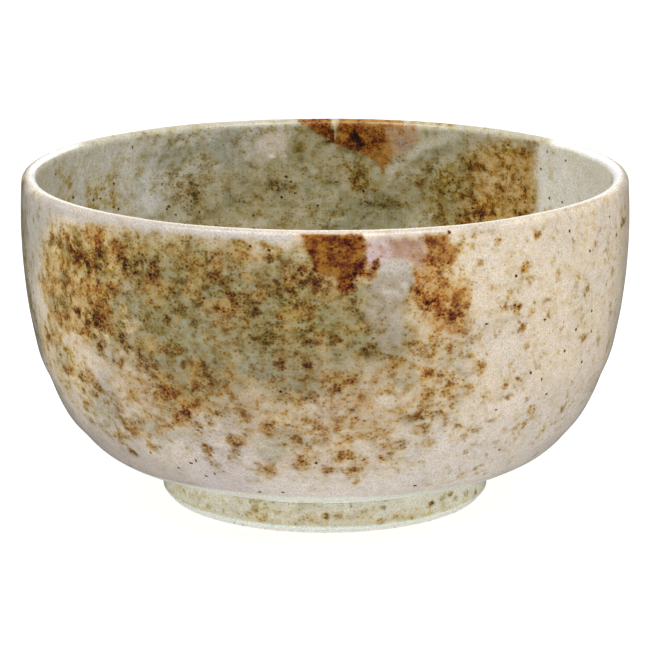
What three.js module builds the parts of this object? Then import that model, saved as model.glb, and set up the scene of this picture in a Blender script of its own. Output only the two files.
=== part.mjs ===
import * as THREE from "three";

// A glazed stoneware tea bowl: a round wall on a low foot ring, with four glaze coats on the clay.
// Millimetres, +Z up, with the origin on the table under the bowl's centre.
// Every piece is a body of revolution, so each outline is drawn as radius and height.

// Driving dimensions, glaze included.
const RIM_RADIUS = 60;
const HEIGHT = 65.5;
const FOOT_RADIUS = 32.8;
const FOOT_HEIGHT = 8.5; // table to the underside of the wall, outside the foot
const FOOT_WIDTH = 5;
const RECESS_DEPTH = 6; // table to the underside of the floor, inside the foot
const LIP_THICKNESS = 3;
const FLOOR_THICKNESS = 6;
const GLAZE = 0.5;

// Sizes of the smaller shapes.
const FLOOR_EDGE_RADIUS = 34; // where the flat of the inside turns up into the wall
const FLOOR_EDGE_RISE = 0.8;
const FILLET = 2.2; // height of the glaze pooled where the foot meets the wall
const FILLET_REACH = 3.4;
const CONTACT_BEVEL = 0.7; // turned edge on each side of the bare ring that the bowl stands on
const BARE_HEIGHT = 0.9; // clay left bare above the table
const RECESS_CORNER = 1.1;

// Smoothness of the facets.
const SIDES = 40; // a multiple of four, so that the bowl is as wide along X as along Y
const WALL_STEPS = 10;
const FLOOR_STEPS = 3;
const LIP_STEPS = 3;
const FILLET_STEPS = 3;

const at = (radius, height) => new THREE.Vector2(radius, height);

// Levels and radii that follow from the driving dimensions.
const lipRadius = LIP_THICKNESS / 2;
const lipHeight = HEIGHT - lipRadius;
const clayFootRadius = FOOT_RADIUS - GLAZE;
const clayRecessRadius = FOOT_RADIUS - FOOT_WIDTH;
const clayRecessHeight = RECESS_DEPTH + GLAZE;
const floorHeight = RECESS_DEPTH + FLOOR_THICKNESS;
const footGlazeTop = FOOT_HEIGHT - FILLET;
const wallFootRadius = FOOT_RADIUS + FILLET_REACH;

// Pull points of the wall curves: one fills the belly, the other turns the wall into the base.
const insideBelly = at(0.98 * RIM_RADIUS, 0.51 * HEIGHT);
const insideTurn = at(0.82 * RIM_RADIUS, floorHeight + 2);
const outsideBelly = at(1.036 * RIM_RADIUS, 0.462 * HEIGHT);
const outsideTurn = at(0.86 * RIM_RADIUS, FOOT_HEIGHT);

// The glazed surface in four curves, from the middle of the inside, over the lip, to the foot.
const floorCurve = new THREE.QuadraticBezierCurve(
  at(0, floorHeight),
  at(FLOOR_EDGE_RADIUS / 2, floorHeight),
  at(FLOOR_EDGE_RADIUS, floorHeight + FLOOR_EDGE_RISE),
);
const insideCurve = new THREE.CubicBezierCurve(
  at(FLOOR_EDGE_RADIUS, floorHeight + FLOOR_EDGE_RISE),
  insideTurn,
  insideBelly,
  at(RIM_RADIUS - LIP_THICKNESS, lipHeight),
);
const lipCurve = new THREE.ArcCurve(RIM_RADIUS - lipRadius, lipHeight, lipRadius, Math.PI, 0, true);
const outsideCurve = new THREE.CubicBezierCurve(
  at(RIM_RADIUS, lipHeight),
  outsideBelly,
  outsideTurn,
  at(wallFootRadius, FOOT_HEIGHT),
);

// Points on a glazed curve between two fractions of it, with the clay behind each, one glaze deep.
function coat(curve, steps, from = 0, to = 1) {
  const glazed = [];
  const clay = [];
  for (let i = 0; i <= steps; i += 1) {
    const t = from + ((to - from) * i) / steps;
    const point = curve.getPoint(t);
    const along = curve.getTangent(t);
    glazed.push(point);
    clay.push(at(Math.max(0, point.x + GLAZE * along.y), point.y - GLAZE * along.x));
  }
  return { glazed, clay };
}

const floor = coat(floorCurve, FLOOR_STEPS);
const inside = coat(insideCurve, WALL_STEPS);
const innerLip = coat(lipCurve, LIP_STEPS, 0, 0.5);
const outerLip = coat(lipCurve, LIP_STEPS, 0.5, 1);
const outside = coat(outsideCurve, WALL_STEPS);

// Outline of the clay from the middle of the floor to the foot, and the step that the foot ring sits in.
const clayInside = [...floor.clay.slice(0, -1), ...inside.clay.slice(0, -1), ...innerLip.clay];
const clayOutside = [...outerLip.clay, ...outside.clay.slice(1)];
const clayBase = [
  at(clayFootRadius, FOOT_HEIGHT),
  at(clayRecessRadius, FOOT_HEIGHT),
  at(clayRecessRadius, clayRecessHeight),
  at(0, clayRecessHeight),
];

// Turns an outline about the vertical axis. Outlines run clockwise, with radius across and height up.
// LatheGeometry needs them the other way round for its faces to point out.
function turned(name, outline, material) {
  const geometry = new THREE.LatheGeometry([...outline].reverse(), SIDES);
  geometry.rotateX(Math.PI / 2);
  const mesh = new THREE.Mesh(geometry, material);
  mesh.name = name;
  return mesh;
}

function closed(outline) {
  return [...outline, outline[0]];
}

function finish(color, roughness) {
  return new THREE.MeshStandardMaterial({ color, roughness, metalness: 0 });
}

const bareClay = finish(0xd8cbb4, 0.85);
const innerGlaze = finish(0xa9a286, 0.22);
const outerGlaze = finish(0xcdbda3, 0.28);
const footGlaze = finish(0xdfdccb, 0.2);
const recessGlaze = finish(0xd5d2c2, 0.25);

// The thrown bowl: wall and floor in one, with a step underneath for the foot ring.
function clayBody() {
  const outline = [...clayInside, ...clayOutside.slice(1), ...clayBase];
  return turned("clay_body", outline, bareClay);
}

// The ring that the bowl stands on, with both edges of its contact face turned away.
function footRing() {
  const outline = [
    at(clayRecessRadius, FOOT_HEIGHT),
    at(clayFootRadius, FOOT_HEIGHT),
    at(clayFootRadius, BARE_HEIGHT),
    at(clayFootRadius - CONTACT_BEVEL, 0),
    at(clayRecessRadius + CONTACT_BEVEL, 0),
    at(clayRecessRadius, BARE_HEIGHT),
  ];
  return turned("foot_ring", closed(outline), bareClay);
}

// The coat inside, from the middle of the floor to the top of the lip.
function innerCoat() {
  const glazed = [...floor.glazed, ...inside.glazed.slice(1), ...innerLip.glazed.slice(1)];
  const outline = [...glazed, ...[...clayInside].reverse()];
  return turned("inner_glaze", outline, innerGlaze);
}

// The coat outside, from the top of the lip to the roll of glaze pooled on the foot.
function outerCoat() {
  const pool = new THREE.QuadraticBezierCurve(
    outsideCurve.getPoint(1),
    at(FOOT_RADIUS + GLAZE, FOOT_HEIGHT),
    at(FOOT_RADIUS, footGlazeTop),
  );
  const outline = [
    ...outerLip.glazed,
    ...outside.glazed.slice(1),
    ...pool.getPoints(FILLET_STEPS).slice(1),
    at(clayFootRadius, footGlazeTop),
    at(clayFootRadius, FOOT_HEIGHT),
    ...[...clayOutside].reverse(),
  ];
  return turned("outer_glaze", closed(outline), outerGlaze);
}

// The coat round the outside of the foot, short of the table.
function footCoat() {
  const outline = [
    at(clayFootRadius, footGlazeTop),
    at(FOOT_RADIUS, footGlazeTop),
    at(FOOT_RADIUS, BARE_HEIGHT + GLAZE),
    at(clayFootRadius, BARE_HEIGHT),
  ];
  return turned("foot_glaze", closed(outline), footGlaze);
}

// The coat under the bowl, inside the foot ring.
function recessCoat() {
  const radius = clayRecessRadius - GLAZE;
  const outline = [
    at(0, clayRecessHeight),
    at(clayRecessRadius, clayRecessHeight),
    at(clayRecessRadius, BARE_HEIGHT),
    at(radius, BARE_HEIGHT + GLAZE),
    at(radius, RECESS_DEPTH - RECESS_CORNER),
    at(radius - RECESS_CORNER, RECESS_DEPTH),
    at(0, RECESS_DEPTH),
  ];
  return turned("recess_glaze", outline, recessGlaze);
}

const bowl = new THREE.Group();
bowl.add(clayBody(), footRing(), innerCoat(), outerCoat(), footCoat(), recessCoat());

export default bowl;
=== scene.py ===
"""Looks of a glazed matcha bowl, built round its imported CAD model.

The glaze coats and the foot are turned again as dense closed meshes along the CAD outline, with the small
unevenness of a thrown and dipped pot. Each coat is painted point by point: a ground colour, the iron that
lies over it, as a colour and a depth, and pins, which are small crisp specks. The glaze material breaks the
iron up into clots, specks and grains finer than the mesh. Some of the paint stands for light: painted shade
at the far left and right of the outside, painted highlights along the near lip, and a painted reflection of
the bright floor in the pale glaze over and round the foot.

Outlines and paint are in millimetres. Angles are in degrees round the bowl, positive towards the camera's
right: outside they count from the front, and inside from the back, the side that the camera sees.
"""

import math

import bpy
import numpy as np
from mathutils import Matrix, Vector


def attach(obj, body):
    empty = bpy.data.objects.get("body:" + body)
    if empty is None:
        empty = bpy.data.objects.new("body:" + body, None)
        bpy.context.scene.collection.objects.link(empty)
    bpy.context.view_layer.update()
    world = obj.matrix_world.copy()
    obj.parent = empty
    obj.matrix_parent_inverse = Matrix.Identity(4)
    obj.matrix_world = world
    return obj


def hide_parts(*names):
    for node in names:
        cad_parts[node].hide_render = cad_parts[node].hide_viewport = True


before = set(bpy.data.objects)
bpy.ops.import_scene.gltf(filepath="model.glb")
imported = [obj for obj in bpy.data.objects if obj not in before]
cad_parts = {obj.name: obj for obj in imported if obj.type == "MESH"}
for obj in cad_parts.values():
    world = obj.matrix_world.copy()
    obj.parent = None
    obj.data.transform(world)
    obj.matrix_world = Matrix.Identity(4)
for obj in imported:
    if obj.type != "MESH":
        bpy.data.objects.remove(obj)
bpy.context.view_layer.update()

# Driving dimensions, the same as in part.mjs.
MM = 0.001
RIM_RADIUS = 60.0
HEIGHT = 65.5
FOOT_RADIUS = 32.8
FOOT_HEIGHT = 8.5
FOOT_WIDTH = 5.0
RECESS_DEPTH = 6.0
LIP_THICKNESS = 3.0
FLOOR_THICKNESS = 6.0
GLAZE = 0.5
FLOOR_EDGE_RADIUS = 34.0
FLOOR_EDGE_RISE = 0.8
FILLET = 2.2
FILLET_REACH = 3.4
CONTACT_BEVEL = 0.7
BARE_HEIGHT = 0.9
RECESS_CORNER = 1.1

LIP_RADIUS = LIP_THICKNESS / 2
LIP_HEIGHT = HEIGHT - LIP_RADIUS
FLOOR_HEIGHT = RECESS_DEPTH + FLOOR_THICKNESS
CLAY_FOOT_RADIUS = FOOT_RADIUS - GLAZE
CLAY_RECESS_RADIUS = FOOT_RADIUS - FOOT_WIDTH

# Fineness of the meshes.
WALL_SIDES = 640
FOOT_SIDES = 400
WALL_STEP = 0.64
FLOOR_STEP = 1.6
LIP_STEP = 0.25
FOOT_STEP = 0.4
BACK_STEP = 6.0


# ---------------- noise and small helpers


def wander(points, size, seed):
    """Smooth noise from -1 to 1 that changes over about size millimetres."""
    place = points / size + 100.0
    cell = np.floor(place).astype(np.int64)
    part = place - cell
    part = part * part * (3 - 2 * part)
    total = np.zeros(len(points))
    for corner in np.ndindex(2, 2, 2):
        key = (cell + corner) @ np.array([374761393, 668265263, 1440662683]) + seed * 974634777
        key = ((key ^ (key >> 13)) * 1274126177) & 0xFFFFFFFF
        key = ((key ^ (key >> 16)) * 2246822519) & 0xFFFFFFFF
        weight = np.prod(np.where(corner, part, 1 - part), axis=1)
        total += weight * (key / 0xFFFFFFFF)
    return 2 * total - 1


def ramp(value, low, high):
    """0 below low, 1 above high, and smooth between."""
    part = np.clip((value - low) / (high - low), 0, 1)
    return part * part * (3 - 2 * part)


def wrapped(degrees):
    """The same angle, from -180 to 180."""
    return (degrees + 180) % 360 - 180


def colour(code):
    """Linear colour of a hex code such as d6c8b3."""
    parts = [int(code[i : i + 2], 16) / 255 for i in (0, 2, 4)]
    return np.array([c / 12.92 if c <= 0.04045 else ((c + 0.055) / 1.055) ** 2.4 for c in parts])


# ---------------- outlines, as radius and height


def bezier(*pulls):
    """A curve through its first and last point, pulled by those between, as fine steps."""
    t = np.linspace(0, 1, 400)[:, None]
    n = len(pulls) - 1
    return sum(math.comb(n, k) * t**k * (1 - t) ** (n - k) * np.array(p, float) for k, p in enumerate(pulls))


def arc(centre, radius, start, end):
    """Part of a circle between two angles, as fine steps."""
    a = np.radians(np.linspace(start, end, 60))
    return np.stack([centre[0] + radius * np.cos(a), centre[1] + radius * np.sin(a)], axis=1)


def even(outline, step):
    """The same outline with its points about step apart."""
    outline = np.asarray(outline, float)
    lengths = np.hypot(*np.diff(outline, axis=0).T)
    along = np.concatenate([[0], np.cumsum(lengths)])
    count = max(2, round(along[-1] / step) + 1)
    at = np.linspace(0, along[-1], count)
    return np.stack([np.interp(at, along, outline[:, k]) for k in (0, 1)], axis=1)


def joined(*outlines):
    """Outlines end to end, without the point that each shares with the last."""
    return np.vstack([outlines[0], *[o[1:] for o in outlines[1:]]])


def normals(outline):
    """Unit normals to the left of an outline's direction."""
    along = np.gradient(outline, axis=0)
    along /= np.hypot(*along.T)[:, None]
    return np.stack([-along[:, 1], along[:, 0]], axis=1)


def behind(curve):
    """A coat's plain back: the curve one glaze deeper, in coarse steps, run the other way."""
    coarse = even(curve, BACK_STEP)
    return (coarse - GLAZE * normals(coarse))[::-1]


floor_curve = bezier(
    (0, FLOOR_HEIGHT),
    (FLOOR_EDGE_RADIUS / 2, FLOOR_HEIGHT),
    (FLOOR_EDGE_RADIUS, FLOOR_HEIGHT + FLOOR_EDGE_RISE),
)
inside_curve = bezier(
    (FLOOR_EDGE_RADIUS, FLOOR_HEIGHT + FLOOR_EDGE_RISE),
    (0.82 * RIM_RADIUS, FLOOR_HEIGHT + 2),
    (0.98 * RIM_RADIUS, 0.51 * HEIGHT),
    (RIM_RADIUS - LIP_THICKNESS, LIP_HEIGHT),
)
inner_lip = arc((RIM_RADIUS - LIP_RADIUS, LIP_HEIGHT), LIP_RADIUS, 180, 90)
outer_lip = arc((RIM_RADIUS - LIP_RADIUS, LIP_HEIGHT), LIP_RADIUS, 90, 0)
outside_curve = bezier(
    (RIM_RADIUS, LIP_HEIGHT),
    (1.036 * RIM_RADIUS, 0.462 * HEIGHT),
    (0.86 * RIM_RADIUS, FOOT_HEIGHT),
    (FOOT_RADIUS + FILLET_REACH, FOOT_HEIGHT),
)
pool_curve = bezier(
    (FOOT_RADIUS + FILLET_REACH, FOOT_HEIGHT),
    (FOOT_RADIUS + GLAZE, FOOT_HEIGHT),
    (FOOT_RADIUS, FOOT_HEIGHT - FILLET),
)


# ---------------- meshes


class Coat:
    """A turned closed mesh: a face that shows, finely stepped, and a plain back one glaze deep."""

    def __init__(self, face, back, sides, ring):
        """face and back run on from each other. ring says that the last point joins the first."""
        self.sides = sides
        self.ring = ring
        self.face = face
        back = np.reshape(back, (-1, 2))
        self.outline = np.vstack([face, back])
        self.normal = np.vstack([normals(face), np.zeros((len(back), 2))])
        turn = np.arange(sides) * 2 * math.pi / sides
        rows = len(self.outline)
        self.turn = np.tile(turn, (rows, 1)).ravel()
        self.radius = np.repeat(self.outline[:, 0], sides)
        self.height = np.repeat(self.outline[:, 1], sides)
        self.points = self.placed(self.radius, self.height)

    def placed(self, radius, height):
        """Points in space: the turn starts at the front, the side towards -Y."""
        return np.stack([radius * np.sin(self.turn), -radius * np.cos(self.turn), height], axis=1)

    def swell(self, amount):
        """Moves the face out along its normals by amount millimetres at each point."""
        out = np.repeat(self.normal, self.sides, axis=0) * amount[:, None]
        self.points = self.placed(np.maximum(self.radius + out[:, 0], 0), self.height + out[:, 1])

    def mesh(self, name):
        """The closed mesh in metres, and the points kept: a row on the axis becomes one point."""
        rows = len(self.outline)
        index = np.arange(rows * self.sides).reshape(rows, self.sides)
        on_axis = self.outline[:, 0] < 1e-6
        index[on_axis] = index[on_axis][:, :1]
        pairs = [(i, i + 1) for i in range(rows - 1)]
        if self.ring:
            pairs.append((rows - 1, 0))
        faces = []
        for low, high in pairs:
            if on_axis[low] and on_axis[high]:
                continue
            quads = np.stack(
                [index[low], index[high], np.roll(index[high], -1), np.roll(index[low], -1)], axis=1
            )
            if on_axis[low]:
                quads = quads[:, [0, 1, 2]]
            elif on_axis[high]:
                quads = quads[:, [0, 1, 3]]
            faces.append(quads)
        kept, renumbered = np.unique(np.concatenate([f.ravel() for f in faces]), return_inverse=True)
        polygons = []
        start = 0
        for quads in faces:
            polygons += renumbered[start : start + quads.size].reshape(quads.shape).tolist()
            start += quads.size
        mesh = bpy.data.meshes.new(name)
        mesh.from_pydata((self.points[kept] * MM).tolist(), [], polygons)
        mesh.polygons.foreach_set("use_smooth", np.ones(len(mesh.polygons), bool))
        mesh.set_sharp_from_angle(angle=math.radians(50))
        return mesh, kept


def show(coat, name, node, material, paint=None):
    """Makes the coat's object, which stands for a CAD node and takes its finish from a slot."""
    mesh, kept = coat.mesh(name)
    for layer, values in (paint.layers() if paint else {}).items():
        attribute = mesh.attributes.new(layer, "FLOAT_COLOR", "POINT")
        attribute.data.foreach_set("color", values[kept].astype(np.float32).ravel())
    mesh.materials.append(material)
    piece = bpy.data.objects.new(name, mesh)
    bpy.context.scene.collection.objects.link(piece)
    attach(piece, "root")
    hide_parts(node)


def unevenness(points):
    """How a thrown and dipped pot strays from a true round, in millimetres."""
    return 0.10 * wander(points, 24, 1) + 0.05 * wander(points, 9, 2) + 0.02 * wander(points, 3.5, 3)


def throwing_lines(coat, lines):
    """Soft ridges and grooves left by the potter's fingers: height, size and how far each stands out."""
    drift = 0.8 * wander(coat.points, 30, 4)
    strength = 0.75 + 0.4 * wander(coat.points, 18, 5)
    total = np.zeros(len(coat.points))
    for height, size, rise in lines:
        total += rise * strength * np.exp(-(((coat.height + drift - height) / size) ** 2))
    return total


# ---------------- painting

# What one unit of iron lets through, as red, green and blue.
TAN_IRON = (0.65, 0.54, 0.34)
OLIVE_IRON = (0.63, 0.55, 0.34)
OCHRE_IRON = (0.63, 0.49, 0.19)
BROWN_IRON = (0.65, 0.46, 0.20)
RUSSET_IRON = (0.62, 0.43, 0.16)
RUST_IRON = (0.60, 0.37, 0.12)

HUE_DRIFT = np.array([-0.1, 0.0, 0.25])  # how far the iron's red, green and blue wander
CLUMP_CONTRAST = 1.9  # how unevenly the iron lies at the largest scale
PIN_REACH = 1.5  # radius of a pin's cone
FLATTENING = np.array([1, 1, 1.2])  # flecks are wider than tall


class Paint:
    """The colours of one coat, point by point, and the brushes that lay them on."""

    def __init__(self, coat, ground, passing, depth, inside=False):
        """Starts with one ground colour and iron of one depth. Inside, angles count from the back."""
        self.points = coat.points * FLATTENING
        turn = np.degrees(coat.turn)
        self.angle = wrapped(180 - turn if inside else turn)
        self.height = coat.height
        self.face = coat.face if coat.face[0, 1] < coat.face[-1, 1] else coat.face[::-1]
        self.rise = np.concatenate([[0], np.cumsum(np.hypot(*np.diff(self.face, axis=0).T))])
        self.up = self.along(self.height)
        self.radius = np.maximum(coat.radius, 1)
        count = len(self.points)
        self.ragged = self.layered(11, [(6.0, 0.45), (2.6, 0.35), (1.3, 0.20)])
        self.clumps = self.layered(21, [(7.0, 0.35), (3.2, 0.35), (1.6, 0.30)])
        self.mottle = self.layered(31, [(9.0, 0.40), (3.5, 0.35), (1.5, 0.25)])
        self.hue = self.layered(41, [(8.0, 0.5), (3.0, 0.5)])
        self.ground = np.tile(colour(ground), (count, 1))
        self.pins = np.zeros(count)
        self.passing = np.tile(passing, (count, 1)).astype(float)
        self.depth = np.full(count, float(depth))

    def layered(self, seed, sizes):
        """Noise made of several sizes, each with its share."""
        return sum(share * wander(self.points, size, seed + k) for k, (size, share) in enumerate(sizes))

    def along(self, height):
        """How far up the face a height lies, in millimetres measured along the surface."""
        return np.interp(height, self.face[:, 1], self.rise) + np.maximum(height - self.face[-1, 1], 0)

    def edge(self, inside, soft, ragged):
        """How far each point is covered, from its distance inside the edge."""
        return ramp(inside + ragged * self.ragged, -soft, soft)

    def band(self, low, high, soft, ragged):
        """A band all round, between two heights."""
        inside = np.minimum(self.height - low, high - self.height)
        return self.edge(inside, soft, ragged)

    def spot(self, angle, height, wide, high, soft, ragged):
        """An oval of the given half width and half height."""
        across = np.radians(wrapped(self.angle - angle)) * self.radius / wide
        up = (self.up - self.along(height)) / high
        inside = (1 - np.hypot(across, up)) * min(wide, high)
        return self.edge(inside, soft, ragged)

    def area(self, corners, soft, ragged):
        """A region with corners at the given angles and heights."""
        middle = sum(c[0] for c in corners) / len(corners)
        x = np.radians(wrapped(self.angle - middle)) * self.radius
        y = self.up
        corners = [(angle, self.along(height)) for angle, height in corners]
        nearest = np.full(len(x), 1e9)
        within = np.zeros(len(x), bool)
        for (a0, y0), (a1, y1) in zip(corners, corners[1:] + corners[:1]):
            x0 = np.radians(a0 - middle) * self.radius
            x1 = np.radians(a1 - middle) * self.radius
            length = (x1 - x0) ** 2 + (y1 - y0) ** 2
            t = np.clip(((x - x0) * (x1 - x0) + (y - y0) * (y1 - y0)) / np.maximum(length, 1e-9), 0, 1)
            nearest = np.minimum(nearest, np.hypot(x - x0 - t * (x1 - x0), y - y0 - t * (y1 - y0)))
            if y0 != y1:
                crosses = (y0 > y) != (y1 > y)
                within ^= crosses & (x < x0 + (x1 - x0) * (y - y0) / (y1 - y0))
        return self.edge(np.where(within, nearest, -nearest), soft, ragged)

    def tint(self, code, cover, strength=1.0):
        """Mixes a colour into the ground."""
        amount = (cover * strength)[:, None]
        self.ground += (colour(code) - self.ground) * amount

    def iron(self, passing, depth, cover):
        """Sets the colour that iron lets through, and how deep it lies."""
        self.passing += (np.array(passing) - self.passing) * cover[:, None]
        self.depth += (depth - self.depth) * cover

    def gather(self, depth, cover):
        """Adds iron."""
        self.depth = self.depth + depth * cover

    def lay(self, code, passing, depth, cover, strength=1.0):
        """Tints the ground and sets the iron over it in one stroke."""
        self.tint(code, cover, strength)
        self.iron(passing, depth, cover)

    def prick(self, places):
        """Small dark specks: cones, which the material cuts off crisply near their tips."""
        for angle, height in places:
            across = np.radians(wrapped(self.angle - angle)) * self.radius
            cone = 1 - np.hypot(across, self.up - self.along(height)) / PIN_REACH
            self.pins = np.maximum(self.pins, cone)

    def blotches(self, size, share, seed):
        """Irregular patches of about the given size, over about the given share of the coat."""
        noise = wander(self.points, size, seed) + 0.5 * wander(self.points, size / 2.3, seed + 1)
        level = np.quantile(noise, 1 - share)
        return ramp(noise, level - 0.12, level + 0.12)

    def tint_areas(self, fields, ragged):
        """Fields of ground colour."""
        for code, strength, soft, corners in fields:
            self.tint(code, self.area(corners, soft, ragged), strength)

    def tint_blotches(self, fields, soft, ragged):
        """Blotches of ground colour inside fields."""
        for code, strength, size, share, seed, corners in fields:
            cover = self.area(corners, soft, ragged) * self.blotches(size, share, seed)
            self.tint(code, cover, strength)

    def iron_areas(self, fields, ragged):
        """Fields of iron."""
        for passing, depth, soft, corners in fields:
            self.iron(passing, depth, self.area(corners, soft, ragged))

    def gather_blotches(self, fields, soft, ragged):
        """Blotches of added iron inside fields."""
        for depth, size, share, seed, corners in fields:
            self.gather(depth, self.area(corners, soft, ragged) * self.blotches(size, share, seed))

    def gather_spots(self, depth, spots, soft, ragged):
        """Ovals of added iron: angle, height, half width, half height."""
        for angle, height, wide, high in spots:
            self.gather(depth, self.spot(angle, height, wide, high, soft, ragged))

    def clots(self, passing, depth, more, spots, soft, ragged):
        """The same ovals, of iron that takes the place of what lies there before more is added."""
        for angle, height, wide, high in spots:
            cover = self.spot(angle, height, wide, high, soft, ragged)
            self.iron(passing, depth, cover)
            self.gather(more, cover)

    def layers(self):
        """The vertex layers that the glaze material reads."""
        shaded = self.ground * (1 + 0.10 * self.mottle[:, None])
        warmed = np.clip(self.passing ** (1 + self.hue[:, None] * HUE_DRIFT), 0, 1)
        depth = self.depth * np.exp(CLUMP_CONTRAST * self.clumps)
        return {
            "ground": np.column_stack([shaded, self.pins]),
            "stain": np.column_stack([warmed, depth]),
        }


# ---------------- materials


class Nodes:
    """A short way to write the nodes of a material or a world."""

    def __init__(self, owner, shader="Principled BSDF"):
        owner.use_nodes = True
        self.tree = owner.node_tree
        self.shader = self.tree.nodes[shader]

    def add(self, kind, inputs=None, **settings):
        """A new node: its settings by name, and what feeds its inputs, by name or number."""
        node = self.tree.nodes.new(kind)
        for key, value in settings.items():
            setattr(node, key, value)
        self.fill(node, inputs or {})
        return node

    def fill(self, node, inputs):
        """Feeds a node's inputs, each from another node or with a plain value."""
        for key, value in inputs.items():
            if isinstance(value, bpy.types.NodeSocket):
                self.join(value, node.inputs[key])
            else:
                node.inputs[key].default_value = value

    def join(self, source, target):
        """Links an output to an input."""
        self.tree.links.new(source, target)

    def math(self, operation, *values):
        """The result of a sum on numbers or other nodes' outputs."""
        return self.add("ShaderNodeMath", dict(enumerate(values)), operation=operation).outputs[0]

    def mix(self, amount, first, second, blend="MIX"):
        """Mixes two colours."""
        inputs = {"Factor": amount, 6: first, 7: second}
        return self.add("ShaderNodeMix", inputs, data_type="RGBA", blend_type=blend).outputs[2]

    def either(self, which, first, second):
        """The first number where which is 0, and the second where it is 1."""
        return self.add("ShaderNodeMix", {0: which, 2: first, 3: second}).outputs[0]

    def between(self, value, low, high, start=0.0, end=1.0, steps="SMOOTHSTEP"):
        """Goes from start to end as the value goes from low to high."""
        inputs = dict(enumerate((value, low, high, start, end)))
        return self.add("ShaderNodeMapRange", inputs, interpolation_type=steps).outputs[0]

    def place(self, size, seed):
        """The place on the object, counted in marks size millimetres wide. Each seed gives others."""
        inputs = {
            "Vector": self.add("ShaderNodeTexCoord").outputs["Object"],
            "Location": (seed, seed, seed),
            "Scale": FLATTENING / (size * MM),
        }
        return self.add("ShaderNodeMapping", inputs).outputs["Vector"]

    def noise(self, size, detail, roughness, seed):
        """Noise from about 0 to 1 whose features are size millimetres across."""
        inputs = {"Vector": self.place(size, seed), "Scale": 1.0, "Detail": detail, "Roughness": roughness}
        return self.add("ShaderNodeTexNoise", inputs).outputs["Fac"]

    def specks(self, size, seed, warp):
        """Round specks size millimetres apart, each of its own strength from 0 to 1, and 0 between them."""
        cells = self.add("ShaderNodeTexVoronoi", {"Vector": self.place(size, seed), "Scale": 1.0})
        own = self.add("ShaderNodeSeparateColor", {0: cells.outputs["Color"]}).outputs[0]
        distance = self.math("MULTIPLY_ADD", warp, 0.8, cells.outputs["Distance"])
        return self.math("MULTIPLY", self.between(distance, 0.35, 1.0, 1.0, 0.0), own)

    def layer(self, name):
        """A vertex layer's colour, and its fourth value."""
        node = self.add("ShaderNodeAttribute", attribute_name=name)
        return node.outputs["Color"], node.outputs["Alpha"]

    def bump(self, height, distance):
        """The surface's normal over a relief of about distance millimetres."""
        inputs = {"Strength": 1.0, "Distance": distance * MM, "Height": height}
        return self.add("ShaderNodeBump", inputs).outputs["Normal"]


# How the iron breaks up: the size of each kind of mark in millimetres, and how strongly it varies there.
CLOT_SIZE = 1.9
CLOT_CONTRAST = 8.5
SPECK_SIZE = 0.75
SPECK_CONTRAST = 3.2
GRAIN_SIZE = 0.34
GRAIN_CONTRAST = 7.0
PEPPER_DEPTH = 1.2  # added iron in the strongest specks
PIN_DEPTH = 4.5
PULLS = [(1.10, 0.82), (1.02, 0.98), (0.95, 1.20)]  # on red, green and blue: cool iron, and warm


def glaze(name):
    """Satin glaze. Its iron takes light away with depth, from tan through ochre to dark brown."""
    material = bpy.data.materials.new(name)
    n = Nodes(material)
    ground, pins = n.layer("ground")
    stain, depth = n.layer("stain")
    grain = n.noise(GRAIN_SIZE, 1.0, 0.6, 3.1)
    clot = n.noise(CLOT_SIZE, 2.0, 0.6, 7.7)
    speck = n.specks(SPECK_SIZE, 4.3, grain)

    # The iron lies unevenly, from clots down to grains, in proportion to its local depth.
    uneven = n.math("MULTIPLY", n.math("SUBTRACT", speck, 0.1), SPECK_CONTRAST)
    for noise, contrast in ((clot, CLOT_CONTRAST), (grain, GRAIN_CONTRAST)):
        uneven = n.math("MULTIPLY_ADD", n.math("SUBTRACT", noise, 0.5), contrast, uneven)
    laid = n.math("MULTIPLY", depth, n.math("EXPONENT", uneven))

    # It fills up towards a greatest depth. Pepper and pins come on top, and stay crisp.
    most = n.math("MULTIPLY_ADD", depth, 1.6, 1.2)
    spared = n.math("EXPONENT", n.math("MULTIPLY", n.math("DIVIDE", laid, most), -1.0))
    filled = n.math("MULTIPLY", n.math("SUBTRACT", 1.0, spared), most)
    pepper = n.between(speck, 0.82, 0.94, 0.0, PEPPER_DEPTH)
    pin = n.between(n.math("MULTIPLY_ADD", grain, 0.15, pins), 0.77, 0.85, 0.0, PIN_DEPTH)
    iron = n.math("ADD", filled, n.math("ADD", pepper, pin))

    # What is left of the light, channel by channel.
    tone = n.between(grain, 0.28, 0.72, 0.80, 1.20)
    warmth = n.noise(1.5, 1.0, 0.5, 6.1)
    passed = n.add("ShaderNodeSeparateColor", {0: stain})
    left = {}
    for channel, (cool, warm) in enumerate(PULLS):
        strength = n.math("MULTIPLY", iron, n.between(warmth, 0.3, 0.7, cool, warm))
        left[channel] = n.math("MULTIPLY", n.math("POWER", passed.outputs[channel], strength), tone)
    shaded = n.add("ShaderNodeCombineColor", left).outputs[0]

    gloss = n.between(n.math("MULTIPLY_ADD", iron, 0.08, clot), 0.35, 0.85, 0.17, 0.34)
    peel = n.noise(1.8, 2.0, 0.45, 5.9)
    relief = n.math("MULTIPLY_ADD", grain, 0.15, n.math("MULTIPLY", peel, 0.6))
    relief = n.math("MULTIPLY_ADD", iron, 0.05, relief)
    look = {
        "Base Color": n.mix(1.0, ground, shaded, "MULTIPLY"),
        "Roughness": gloss,
        "Normal": n.bump(relief, 0.035),
        "IOR": 1.5,
    }
    n.fill(n.shader, look)
    return material


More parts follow.
